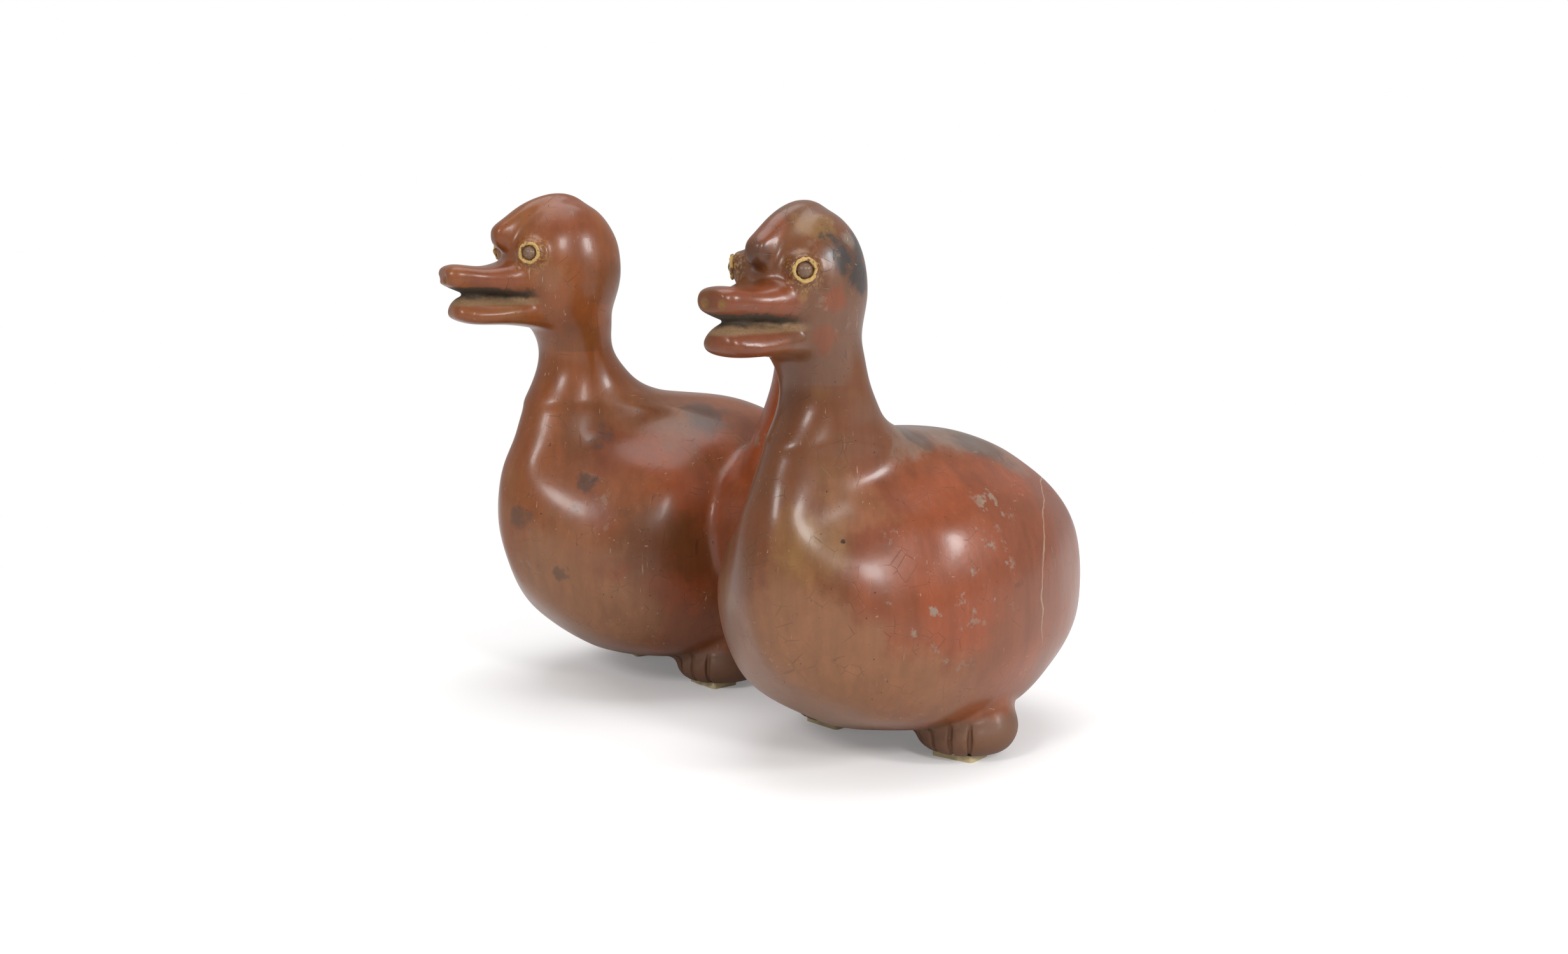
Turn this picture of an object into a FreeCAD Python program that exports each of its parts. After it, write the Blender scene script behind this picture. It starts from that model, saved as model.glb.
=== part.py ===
"""Double duck vessel: two hollow ducks of burnished red clay, side by side, joined by a hollow bridge
that carries one spout. All sizes in millimetres, +Z up, the ducks look towards -Y."""
import FreeCAD, Part
import os
from math import cos, pi, radians, sin, sqrt

Vector = FreeCAD.Vector
UP = Vector(0, 0, 1)
FORWARD = Vector(0, -1, 0)
SIDEWAYS = Vector(1, 0, 0)

# Placing of the two ducks; each neck leans and each head turns a little further outwards than its body
duck_spacing = 137.0
body_splay = 7.5
neck_lean = 2.5
lean_start = 106.0
lean_end = 129.0
head_turn = 3.8
head_pivot_y = -78.0
turn_start = 138.0
turn_end = 158.0

# Clay walls, seams and bores
wall = 7.0
neck_seam_height = 129.0
head_seam_height = 147.5
neck_bore_radius = 8.5
neck_bore_y = -32.5
neck_bore_bottom = 96.0
head_hollow_top = 182.0
chamber_half_points = 6

# Softness of the valleys between breast and wing lobes, and points on half a ring
blend_power = 5.0
half_ring_points = 8

# Breast, neck and head skin: height, front, back and half width of each level
BREAST = [
    (9.0, -9.0, 20.0, 9.0),
    (10.5, -16.0, 28.0, 16.0),
    (14.0, -26.0, 32.0, 22.0),
    (20.0, -35.5, 32.0, 26.5),
    (28.5, -46.0, 32.0, 30.0),
    (40.0, -56.5, 32.0, 32.5),
    (54.0, -64.0, 32.0, 34.0),
    (68.0, -67.0, 32.0, 33.0),
    (82.0, -66.5, 32.0, 29.5),
    (94.0, -63.5, 34.0, 26.0),
    (103.0, -60.0, 38.0, 23.5),
    (110.0, -57.5, 36.0, 22.0),
    (115.0, -55.5, 24.0, 20.5),
    (119.0, -54.0, 6.0, 19.0),
    (123.5, -51.0, -5.0, 17.6),
    (129.0, -48.0, -11.0, 17.0),
    (138.0, -46.5, -17.0, 16.6),
    (147.5, -51.5, -18.0, 17.0),
    (153.0, -57.0, -18.0, 17.8),
    (160.0, -60.0, -16.0, 18.8),
    (167.0, -62.0, -14.3, 19.4),
    (174.0, -63.0, -14.3, 19.2),
    (181.0, -62.0, -15.8, 18.0),
    (186.5, -59.0, -18.6, 16.2),
    (191.0, -54.8, -22.0, 13.4),
    (194.5, -50.5, -26.2, 10.2),
    (197.0, -46.0, -31.0, 6.2),
]
# Wing lobes: height, front, back, sideways offset and half width of each level
LOBES = [
    (9.0, 0.0, 34.0, 4.0, 10.0),
    (10.5, -8.0, 46.0, 6.0, 18.0),
    (14.0, -20.0, 60.0, 9.0, 26.0),
    (20.0, -34.0, 70.0, 11.0, 32.0),
    (28.5, -45.0, 80.0, 12.0, 36.2),
    (40.0, -52.0, 87.5, 12.8, 40.2),
    (54.0, -55.0, 90.5, 12.8, 41.6),
    (68.0, -54.0, 89.5, 12.8, 40.8),
    (82.0, -49.0, 84.5, 12.2, 38.0),
    (94.0, -40.0, 74.0, 11.0, 32.5),
    (103.0, -28.0, 62.5, 9.0, 25.5),
    (110.0, -12.0, 50.0, 7.0, 18.0),
    (115.0, 0.0, 34.0, 4.0, 9.0),
]

# Crest: a clay roll from the brow over the crown, as upright rings: y, lowest and highest point, half width
CREST = [
    (-67.3, 181.5, 185.3, 2.0),
    (-66.2, 179.0, 187.2, 3.8),
    (-62.8, 177.0, 189.8, 5.0),
    (-56.5, 176.0, 194.4, 5.6),
    (-49.0, 178.0, 198.2, 6.0),
    (-40.0, 180.0, 200.0, 6.2),
    (-31.5, 180.0, 198.2, 5.6),
    (-26.0, 178.0, 192.8, 4.0),
]

# Bills: y, lowest and highest point at the lips, half width
UPPER_BILL = [
    (-49.5, 158.0, 176.0, 14.0),
    (-57.5, 158.5, 175.8, 13.6),
    (-64.7, 160.5, 173.6, 12.2),
    (-72.0, 162.2, 172.2, 10.0),
    (-79.3, 163.2, 172.8, 8.6),
    (-85.0, 163.6, 172.9, 7.6),
    (-87.9, 165.2, 171.5, 5.4),
]
LOWER_BILL = [
    (-47.5, 146.0, 160.0, 12.5),
    (-55.5, 147.5, 159.8, 12.8),
    (-63.7, 148.6, 158.3, 12.2),
    (-72.2, 149.0, 157.0, 10.8),
    (-79.5, 149.8, 157.0, 8.8),
    (-83.3, 151.2, 156.8, 6.8),
    (-85.0, 152.6, 155.6, 3.8),
]
# Mouth: a groove between the bills, which swell towards each other by these shares of their half height, ring by ring
UPPER_SWELL = [0.0, 0.0, 0.1, 0.32, 0.4, 0.0, 0.0]
LOWER_SWELL = [0.0, 0.05, 0.5, 1.05, 1.15, 0.9, 0.2]
bill_roundness = 2.6
bill_ring_points = 12

# Eyes: a low mound of clay with a round pellet let into it
eye_y = -57.3
eye_z = 177.4
eye_side = 14.0
eye_turn = 55.0
eye_root = 6.0
eye_mound_radius = 5.9
eye_mound_rise = 2.8
pupil_radius = 3.4
pupil_rise = 3.6

# Feet and pads
foot_x = 30.0
foot_y = 17.0
foot_turn = 6.0
foot_ring_points = 10
toe_grooves = 4
toe_groove_radius = 1.2
toe_groove_height = 14.0
toe_spread = 22.0
pad_length = 12.0
pad_width = 17.0
pad_thickness = 2.5
pad_corner = 1.5
pad_forward = 5.0
# Foot: height above the pad, front, back and half width
FOOT = [
    (0.0, -15.0, 14.0, 14.0),
    (4.0, -19.0, 16.5, 18.0),
    (8.5, -19.5, 17.5, 19.2),
    (14.0, -16.5, 16.5, 17.5),
    (20.0, -14.0, 15.5, 16.0),
    (30.0, -13.0, 15.0, 15.5),
]

# Tail: share of its length, share of the full width and thickness
TAIL = [(0.0, 1.2), (0.56, 1.0), (0.84, 0.8), (1.0, 0.45)]
tail_root_y = 78.0
tail_length = 25.0
tail_width = 26.0
tail_thickness = 12.0
tail_z = 66.0
tail_slope = 0.25
tail_ring_points = 10

# Bridge and spout
bridge_y = 24.0
bridge_z = 66.0
bridge_length = 64.0
bridge_height = 62.0
bridge_flare = 0.12
bridge_root = 12.0
bridge_ring_points = 12
passage_radius = 11.0
spout_y = 29.0
spout_bore_radius = 9.5
spout_seam_rise = 68.0
lip_radius = 1.6
# Spout: radius and height above the bridge's middle
SPOUT_SIDE = [(29.0, 18.0), (26.0, 32.0), (20.5, 46.0), (16.0, 60.0), (14.0, 76.0), (14.8, 92.0), (19.5, 108.0)]

# Vessel's own limits for cutting slabs
far_out = 200.0


def curve_edge(points):
    """One smooth edge through the points."""
    curve = Part.BSplineCurve()
    curve.interpolate(Points=points)
    return curve.toShape()


def closed_curve(points):
    """One smooth closed curve through the points, with even parameters so that the rings of a skin agree."""
    curve = Part.BSplineCurve()
    steps = [float(k) for k in range(len(points) + 1)]
    curve.interpolate(Points=points, PeriodicFlag=True, Parameters=steps)
    return curve


def skin(rings):
    """Solid with one smooth side through a stack of flat rings, closed by flat ends."""
    rows = [curve.getPoles() for curve in rings]
    steps = [0.0]
    for below, above in zip(rows, rows[1:]):
        steps.append(steps[-1] + sum(p.distanceToPoint(q) for p, q in zip(below, above)) / len(below))
    columns = []
    for line in zip(*rows):
        column = Part.BSplineCurve()
        column.interpolate(Points=list(line), Parameters=steps)
        columns.append(column)
    side = Part.BSplineSurface()
    side.buildFromPolesMultsKnots(
        [column.getPoles() for column in columns],
        rings[0].getMultiplicities(), columns[0].getMultiplicities(),
        rings[0].getKnots(), columns[0].getKnots(), True, False, 3, 3)
    face = side.toShape()
    ends = [Part.Face(Part.Wire([edge])) for edge in face.Edges if edge.isClosed()]
    shell = Part.makeShell([face] + ends)
    shell.sewShape()
    return Part.makeSolid(shell)


def egg_half_width(y, front, back, half_width):
    """Half width of an egg-shaped ring at y, nothing outside it."""
    along = (2.0 * y - front - back) / (back - front)
    return half_width * sqrt(max(0.0, 1.0 - along * along))


def share(height, start, end):
    """How far a level has gone from one height to another, from 0 to 1."""
    return min(1.0, max(0.0, (height - start) / (end - start)))


def head_pose(lean_share=1.0, turn_share=1.0):
    """Placement that leans and turns a level, or a piece of the head, outwards."""
    lean = Vector(neck_lean * lean_share, 0, 0)
    turn = FreeCAD.Rotation(UP, head_turn * turn_share)
    return FreeCAD.Placement(lean, turn, Vector(0, head_pivot_y, 0))


def ring(height, eggs, count=half_ring_points):
    """Level ring round the soft union of eggs, each given as front, back, sideways offset and half width."""
    front = min(egg[0] for egg in eggs)
    back = max(egg[1] for egg in eggs)
    right = []
    for k in range(1, count):
        y = (front + back) / 2.0 - (back - front) / 2.0 * cos(pi * k / count)
        total = 0.0
        for egg_front, egg_back, offset, half_width in eggs:
            across = egg_half_width(y, egg_front, egg_back, half_width)
            if across > 0.0:
                total += (across + offset) ** blend_power
        right.append((total ** (1.0 / blend_power), y))
    points = [Vector(0, front, height)]
    points += [Vector(x, y, height) for x, y in right]
    points += [Vector(0, back, height)]
    points += [Vector(-x, y, height) for x, y in reversed(right)]
    pose = head_pose(share(height, lean_start, lean_end), share(height, turn_start, turn_end))
    return closed_curve([pose.multVec(point) for point in points])


def level_eggs(index, drawn_in=0.0):
    """Eggs of one level: breast or neck or head, and the wing lobes where the level has them."""
    rows = [(*BREAST[index][1:3], 0.0, BREAST[index][3])]
    if index < len(LOBES):
        rows.append(LOBES[index][1:])
    return [(f + drawn_in, b - drawn_in, o, w - drawn_in) for f, b, o, w in rows]


def duck_skin():
    """The whole outside of a duck without its bill, from belly to crown."""
    return skin([ring(BREAST[k][0], level_eggs(k)) for k in range(len(BREAST))])


def chamber():
    """Room inside the body: the same levels drawn in by the wall and squeezed between floor and roof."""
    floor = BREAST[0][0]
    roof = LOBES[-1][0]
    squeeze = (roof - floor - 2.0 * wall) / (roof - floor)
    rings = []
    for k in range(1, len(LOBES) - 1, 2):
        height = floor + wall + (LOBES[k][0] - floor) * squeeze
        rings.append(ring(height, level_eggs(k, wall), chamber_half_points))
    return skin(rings)


def neck_bore():
    """Bore from the chamber up the neck into the head."""
    length = head_hollow_top - neck_bore_bottom
    return Part.makeCylinder(neck_bore_radius, length, Vector(0, neck_bore_y, neck_bore_bottom))


def slab(low, high):
    """Space between two heights."""
    return Part.makeBox(2 * far_out, 2 * far_out, high - low, Vector(-far_out, -far_out, low))


def round_ring(centre, across, along, half_across, half_along, count):
    """Closed oval about a centre, spanned by two directions."""
    points = []
    for k in range(count):
        angle = 2.0 * pi * k / count
        points.append(centre + across * (half_across * cos(angle)) + along * (half_along * sin(angle)))
    return closed_curve(points)


def squared(value, roundness):
    """Sine or cosine of a squarer circle, with its sign."""
    size = abs(value) ** (2.0 / roundness)
    return size if value >= 0.0 else -size


def bill(rows, mouth_side, swells):
    """Upright rings skinned along y; the face towards the mouth, upper (1) or lower (-1), swells in its middle."""
    rings = []
    for (y, low, high, half_width), swell in zip(rows, swells):
        middle = (low + high) / 2.0
        rise = (high - low) / 2.0
        points = []
        for k in range(bill_ring_points):
            angle = 2.0 * pi * k / bill_ring_points
            x = half_width * squared(cos(angle), bill_roundness)
            z = rise * squared(sin(angle), bill_roundness)
            if z * mouth_side > 0.0:
                z *= 1.0 + swell * (1.0 - (x / half_width) ** 2)
            points.append(Vector(x, y, middle + z))
        rings.append(closed_curve(points))
    return turned(skin(rings))


def turned(shape):
    """A piece of the head, leaned and turned with the head."""
    moved = shape.copy()
    moved.Placement = head_pose().multiply(moved.Placement)
    return moved


def dome(radius, rise):
    """Round peg with a domed end, standing in the head along local z."""
    ball_radius = (radius ** 2 + rise ** 2) / (2.0 * rise)
    peg = Part.makeCylinder(radius, eye_root + rise, Vector(0, 0, -eye_root))
    ball = Part.makeSphere(ball_radius, Vector(0, 0, rise - ball_radius))
    root = Part.makeCylinder(radius, eye_root, Vector(0, 0, -eye_root))
    return peg.common(ball.fuse(root))


def set_eye(shape, side):
    """An eye's piece moved from the origin to its place on the head, its local z pointing out."""
    axis = Vector(side * sin(radians(eye_turn)), -cos(radians(eye_turn)), 0)
    moved = shape.copy()
    moved.Placement = FreeCAD.Placement(Vector(side * eye_side, eye_y, eye_z), FreeCAD.Rotation(UP, axis))
    return turned(moved)


def eye_ring(side):
    """Low mound of clay round the pupil."""
    hole = Part.makeCylinder(pupil_radius, 4 * eye_root, Vector(0, 0, -2 * eye_root))
    return set_eye(dome(eye_mound_radius, eye_mound_rise).cut(hole), side)


def pupil(side):
    """Round pellet in the mound."""
    return set_eye(dome(pupil_radius, pupil_rise), side)


def set_foot(shape, side):
    """A foot or pad from the origin to its place under the body."""
    moved = shape.copy()
    moved.rotate(Vector(0, 0, 0), UP, side * foot_turn)
    moved.translate(Vector(side * foot_x, foot_y, 0))
    return moved


def foot(side):
    """Stub foot that stands on its pad, with grooves for the toes."""
    rings = []
    for rise, front, back, half_width in FOOT:
        centre = Vector(0, (front + back) / 2.0, pad_thickness + rise)
        half_length = (back - front) / 2.0
        rings.append(round_ring(centre, FORWARD, SIDEWAYS, half_length, half_width, foot_ring_points))
    solid = skin(rings)
    reach = max(-front for rise, front, back, half_width in FOOT)
    for k in range(toe_grooves):
        turn = (k - (toe_grooves - 1) / 2.0) * toe_spread
        groove = Part.makeCylinder(toe_groove_radius, toe_groove_height, Vector(0, -reach, 0))
        groove.rotate(Vector(0, 0, 0), UP, turn)
        solid = solid.cut(groove)
    return set_foot(solid, side)


def pad(side):
    """Small felt pad under a foot."""
    corner = Vector(-pad_width / 2.0, -pad_length / 2.0 - pad_forward, 0)
    block = Part.makeBox(pad_width, pad_length, pad_thickness, corner)
    uprights = [edge for edge in block.Edges if abs(edge.BoundBox.ZLength - pad_thickness) < 0.01]
    return set_foot(block.makeFillet(pad_corner, uprights), side)


def tail():
    """Short flat tail that tapers to its end."""
    rings = []
    for reach, size in TAIL:
        back = tail_length * reach
        centre = Vector(0, tail_root_y + back, tail_z + back * tail_slope)
        half_width = tail_width / 2.0 * size
        half_thickness = tail_thickness / 2.0 * size
        rings.append(round_ring(centre, SIDEWAYS, UP, half_width, half_thickness, tail_ring_points))
    return skin(rings)


def bridge_block():
    """Rounded block across from body to body, wider where it meets them."""
    half_span = duck_spacing / 2.0 - bridge_root
    rings = []
    for side in (-1.0, -0.5, 0.0, 0.5, 1.0):
        flare = 1.0 + bridge_flare * abs(side)
        centre = Vector(half_span * side, bridge_y, bridge_z)
        half_length = bridge_length / 2.0 * flare
        half_height = bridge_height / 2.0 * flare
        rings.append(round_ring(centre, FORWARD, UP, half_length, half_height, bridge_ring_points))
    return skin(rings)


def spout_block():
    """Turned spout that spreads on to the bodies, with a rounded lip."""
    outline = [Vector(radius, 0, bridge_z + rise) for radius, rise in SPOUT_SIDE]
    foot_axis = Vector(0, 0, outline[0].z)
    mouth_axis = Vector(0, 0, outline[-1].z)
    face = Part.Face(Part.Wire([
        Part.LineSegment(foot_axis, outline[0]).toShape(),
        curve_edge(outline),
        Part.LineSegment(outline[-1], mouth_axis).toShape(),
        Part.LineSegment(mouth_axis, foot_axis).toShape(),
    ]))
    solid = face.revolve(Vector(0, 0, 0), UP, 360)
    top_edges = [edge for edge in solid.Edges if edge.BoundBox.ZMin > mouth_axis.z - 0.01]
    rim = [edge for edge in top_edges if edge.isClosed()]
    solid = solid.makeFillet(lip_radius, rim)
    solid.translate(Vector(0, spout_y, 0))
    return solid


def place(shape):
    """Left duck's frame into the vessel's frame."""
    moved = shape.copy()
    moved.rotate(Vector(0, 0, 0), UP, body_splay)
    moved.translate(Vector(duck_spacing / 2.0, 0, 0))
    return moved


def mirrored(shape):
    """The same piece on the other duck."""
    return shape.mirror(Vector(0, 0, 0), SIDEWAYS)


def duck_pieces(outside):
    """Pieces of one duck in its own frame, before the passage is cut."""
    solid = outside.cut(chamber().fuse(neck_bore()))
    upper_bill = bill(UPPER_BILL, -1, UPPER_SWELL).cut(outside)
    pieces = {
        "body": solid.common(slab(0, neck_seam_height)),
        "neck": solid.common(slab(neck_seam_height, head_seam_height)),
        "head": solid.common(slab(head_seam_height, far_out)),
        "crest": bill(CREST, 0, [0.0] * len(CREST)).cut(outside),
        "upper_bill": upper_bill,
        "lower_bill": bill(LOWER_BILL, 1, LOWER_SWELL).cut([outside, upper_bill]),
        "tail": tail().cut(outside),
    }
    for name, side in (("outer", 1), ("inner", -1)):
        pieces[name + "_eye_ring"] = eye_ring(side).cut(outside)
        pieces[name + "_pupil"] = pupil(side).cut(outside)
        pieces[name + "_foot"] = foot(side).cut(outside)
        pieces[name + "_pad"] = pad(side)
    return pieces


def build():
    """All pieces of the vessel by name, with the origin under the middle of its box."""
    outside = duck_skin()
    left = {name: place(shape) for name, shape in duck_pieces(outside).items()}
    skins = [place(outside), mirrored(place(outside))]
    passage_start = Vector(-duck_spacing / 2.0, bridge_y, bridge_z)
    passage = Part.makeCylinder(passage_radius, duck_spacing, passage_start, SIDEWAYS)
    spout_bore = Part.makeCylinder(spout_bore_radius, far_out - bridge_z, Vector(0, spout_y, bridge_z))
    block = bridge_block()
    spout = spout_block().cut(skins + [block, spout_bore])
    spout_seam = bridge_z + spout_seam_rise
    left["body"] = left["body"].cut(passage)
    nodes = {
        "bridge": block.cut(skins + [passage, spout_bore]),
        "spout": spout.common(slab(0, spout_seam)),
        "spout_collar": spout.common(slab(spout_seam, far_out)),
    }
    for name, shape in left.items():
        nodes["left_" + name] = shape
        nodes["right_" + name] = mirrored(shape)
    front = nodes["left_upper_bill"].optimalBoundingBox().YMin
    back = nodes["left_tail"].optimalBoundingBox().YMax
    for shape in nodes.values():
        shape.translate(Vector(0, -(front + back) / 2.0, 0))
    return nodes


os.makedirs("parts", exist_ok=True)
for node, shape in build().items():
    print(node.ljust(24), shape.isValid(), len(shape.Solids), len(shape.Faces), round(shape.Volume))
    shape.exportStep("parts/" + node + ".step")
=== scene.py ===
"""Looks of the double duck vessel: burnished clay, eyes, pads, floor, lamps and camera. Metres, +Z up."""
import bpy
from math import atan2, cos, pi, radians, sin
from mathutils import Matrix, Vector
from mathutils.bvhtree import BVHTree
from mathutils.interpolate import poly_3d_calc


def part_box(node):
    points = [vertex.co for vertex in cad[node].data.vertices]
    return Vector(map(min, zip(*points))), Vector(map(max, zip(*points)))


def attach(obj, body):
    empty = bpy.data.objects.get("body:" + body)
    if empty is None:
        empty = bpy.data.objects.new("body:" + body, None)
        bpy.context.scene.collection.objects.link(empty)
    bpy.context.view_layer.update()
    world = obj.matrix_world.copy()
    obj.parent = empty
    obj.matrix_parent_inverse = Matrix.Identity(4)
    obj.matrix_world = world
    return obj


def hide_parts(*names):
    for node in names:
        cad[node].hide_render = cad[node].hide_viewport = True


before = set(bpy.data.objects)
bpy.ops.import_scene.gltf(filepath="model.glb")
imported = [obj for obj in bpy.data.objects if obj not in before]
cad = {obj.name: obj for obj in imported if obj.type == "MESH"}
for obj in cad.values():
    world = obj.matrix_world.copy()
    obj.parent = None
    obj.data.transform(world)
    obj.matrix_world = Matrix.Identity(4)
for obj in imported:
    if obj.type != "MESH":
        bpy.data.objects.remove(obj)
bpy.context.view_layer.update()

# Camera: where the photograph was taken from
camera_distance = 0.72914
camera_height = 0.21379
camera_turn = 0.88129
camera_aim = -0.01552
camera_pitch = 0.16620
camera_middle_y = -0.00747
image_width = 2464
focal_pixels = 3000.0
sensor_width = 36.0

# Clay skin
body_voxel = 0.00105
head_voxel = 0.00062
seam_height = 0.138
seam_blend = 0.009
luting_reach = 0.0045
luting_rounds = 30
head_luting_reach = 0.0060
head_luting_rounds = 60
polish_rounds = 6
hand_wave = 0.0007
hand_wave_size = 0.030
spout_plug_height = 0.090
spout_plug_radius = 0.0105
spout_plug_depth = 0.006
neck_plug_radius = 0.012
neck_plug_depth = 0.003
neck_plug_rise = 0.002
merge_reach = 0.00002
owner_reach = 0.05

# Placing of the ducks, as in the CAD
duck_middle_x = 0.0685
duck_middle_y = -0.00743
body_splay = radians(7.5)

# Feet
foot_x = 0.030
foot_y = 0.017
foot_turn = radians(6)
toe_spread = radians(22)
toe_reach = (0.0125, 0.0225)
toe_height = 0.0165
toe_depth = 0.0011
toe_half_width = 0.0011
toe_fade = 0.004
toe_margin = 0.001
toe_margin_above = 0.003
toe_grooves = 4

# Head details
bill_heading = radians(11.3)
eye_turn = radians(55)
pupil_radius = 0.0029
pupil_bed_radius = 0.0034
pupil_bed_depth = 0.0019
pupil_sunk = 0.0032
deposit_radius = 0.0036
deposit_thickness = 0.00072
deposit_sunk = 0.0019
grit_size = 0.0016
pellet_grit = 0.00025
deposit_grit = 0.0009
felt_edge = 0.0004
nostril_tip_x = 0.0845
bill_tip_x = 0.0831
mouth_height = 0.1605
nostril_spread = 0.0037
nostril_back = 0.0012
nostril_rise = 0.0008
nostril_reach = 0.0019
nostril_depth = 0.0007

# Each duck has its eyes, feet and pads in pairs: outer and inner
DUCKS = ("left", "right")
FLANKS = ("outer", "inner")
SPOUT_NODES = ("bridge", "spout", "spout_collar")
HEAD_NODES = ("neck", "head", "crest", "upper_bill", "lower_bill", "outer_eye_ring", "inner_eye_ring")
BODY_NODES = ("body", "outer_foot", "inner_foot", "tail")


def deselect():
    """Nothing selected, nothing in edit mode."""
    if bpy.context.object and bpy.context.object.mode != "OBJECT":
        bpy.ops.object.mode_set(mode="OBJECT")
    bpy.ops.object.select_all(action="DESELECT")


def pick(obj):
    """Only this object selected and active."""
    deselect()
    obj.select_set(True)
    bpy.context.view_layer.objects.active = obj


def edit(obj):
    """Edit mode with everything selected."""
    pick(obj)
    bpy.ops.object.mode_set(mode="EDIT")
    bpy.ops.mesh.select_all(action="SELECT")


def done():
    bpy.ops.object.mode_set(mode="OBJECT")


def apply_modifier(obj, kind, **settings):
    """Adds one modifier and applies it at once."""
    pick(obj)
    modifier = obj.modifiers.new(kind.title(), kind)
    for key, value in settings.items():
        setattr(modifier, key, value)
    bpy.ops.object.modifier_apply(modifier=modifier.name)


def copy_of(names, piece_name):
    """One object from copies of CAD nodes, with their loose triangles merged."""
    deselect()
    for name in names:
        obj = bpy.data.objects.new(piece_name, cad[name].data.copy())
        bpy.context.collection.objects.link(obj)
        obj.select_set(True)
        bpy.context.view_layer.objects.active = obj
    bpy.ops.object.join()
    obj = bpy.context.object
    edit(obj)
    bpy.ops.mesh.remove_doubles(threshold=merge_reach)
    done()
    obj.data.materials.clear()
    return obj


# Hand modelling leaves slow waves in the clay, and pellets and crusts are gritty
hand_texture = bpy.data.textures.new("hand_waves", "CLOUDS")
hand_texture.noise_scale = hand_wave_size
hand_texture.noise_depth = 1
grit_texture = bpy.data.textures.new("grit", "CLOUDS")
grit_texture.noise_scale = grit_size
grit_texture.noise_depth = 2


def add_plug(obj, place, radius, depth):
    """Closes a bore with a disc of clay, so that the hollow behind it isn't skinned."""
    deselect()
    bpy.ops.mesh.primitive_cylinder_add(vertices=48, radius=radius, depth=depth, location=place)
    bpy.ops.object.transform_apply(location=True, rotation=True, scale=True)
    obj.select_set(True)
    bpy.context.view_layer.objects.active = obj
    bpy.ops.object.join()


def keep_largest(obj):
    """Drops all loose parts but the one with the most faces."""
    name = obj.name
    edit(obj)
    bpy.ops.mesh.separate(type="LOOSE")
    done()
    parts = sorted(bpy.context.selected_objects, key=lambda part: len(part.data.polygons))
    for part in parts[:-1]:
        bpy.data.objects.remove(part)
    parts[-1].name = name
    return parts[-1]


def weigh(obj, name, weight_at):
    """Vertex group with a weight worked out from each vertex's place."""
    group = obj.vertex_groups.new(name=name)
    for vertex in obj.data.vertices:
        weight = weight_at(vertex.co)
        if weight > 0.0:
            group.add([vertex.index], weight, "REPLACE")
    return group.name


def smoothstep(value):
    value = min(1.0, max(0.0, value))
    return value * value * (3.0 - 2.0 * value)


def surface_of(names):
    """Search tree over CAD nodes' faces."""
    vertices = []
    faces = []
    for name in names:
        mesh = cad[name].data
        start = len(vertices)
        vertices += [vertex.co.copy() for vertex in mesh.vertices]
        faces += [[start + index for index in polygon.vertices] for polygon in mesh.polygons]
    return BVHTree.FromPolygons(vertices, faces)


def distance_to(surface, place, limit):
    """Distance to a surface, or the limit where it is further."""
    found = surface.find_nearest(place, limit)
    return found[3] if found[3] is not None else limit


def luting(pairs, reach):
    """Weight that is 1 where two clay parts meet and 0 beyond the luting's reach."""
    surfaces = [(surface_of(first), surface_of(second)) for first, second in pairs]

    def weight_at(place):
        weight = 0.0
        for first, second in surfaces:
            away = distance_to(second, place, reach)
            if away < reach:
                away = max(away, distance_to(first, place, reach))
                weight = max(weight, smoothstep(1.5 * (1.0 - away / reach)))
        return weight

    return weight_at


def clay_skin(obj, voxel, pairs, reach, rounds):
    """Continuous skin over joined clay parts: remeshed, luted at the joints, polished and slightly uneven."""
    apply_modifier(obj, "REMESH", mode="VOXEL", voxel_size=voxel, use_smooth_shade=True)
    obj = keep_largest(obj)
    joints = weigh(obj, "joints", luting(pairs, reach))
    apply_modifier(obj, "SMOOTH", factor=0.5, iterations=polish_rounds)
    apply_modifier(obj, "SMOOTH", factor=0.5, iterations=rounds, vertex_group=joints)
    apply_modifier(obj, "DISPLACE", texture=hand_texture, texture_coords="LOCAL", strength=hand_wave,
                   mid_level=0.75)
    obj.vertex_groups.clear()
    return obj


def cut_at_seam(obj, keep_above):
    """Cuts level through the neck, keeps one side and closes the cut."""
    edit(obj)
    bpy.ops.mesh.bisect(plane_co=(0, 0, seam_height), plane_no=(0, 0, 1), use_fill=True,
                        clear_inner=keep_above, clear_outer=not keep_above)
    done()


def keep_normals(obj, beside=None):
    """Stores each vertex's normal, so that pieces parted from one skin still shade as one.
    Near the seam a head takes the normals of the skin beside it."""
    normals = [vertex.normal.copy() for vertex in obj.data.vertices]
    if beside:
        mesh = beside.data
        surface = BVHTree.FromPolygons([vertex.co for vertex in mesh.vertices],
                                       [polygon.vertices for polygon in mesh.polygons])
        for vertex in obj.data.vertices:
            weight = smoothstep((seam_height + seam_blend - vertex.co.z) / seam_blend)
            if weight > 0.0:
                place, _, index, _ = surface.find_nearest(vertex.co)
                corners = [mesh.vertices[corner] for corner in mesh.polygons[index].vertices]
                weights = poly_3d_calc([corner.co for corner in corners], place)
                near = sum((corner.normal * share for corner, share in zip(corners, weights)), Vector())
                normals[vertex.index] = normals[vertex.index].lerp(near, weight).normalized()
    attribute = obj.data.attributes.new("clay_normal", "FLOAT_VECTOR", "POINT")
    attribute.data.foreach_set("vector", [part for normal in normals for part in normal])


def use_normals(obj):
    """Shades a parted piece with the normals that were stored before it was parted."""
    pick(obj)
    bpy.ops.object.shade_smooth()
    attribute = obj.data.attributes["clay_normal"]
    obj.data.normals_split_custom_set_from_vertices([item.vector[:] for item in attribute.data])
    obj.data.attributes.remove(obj.data.attributes["clay_normal"])


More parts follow.
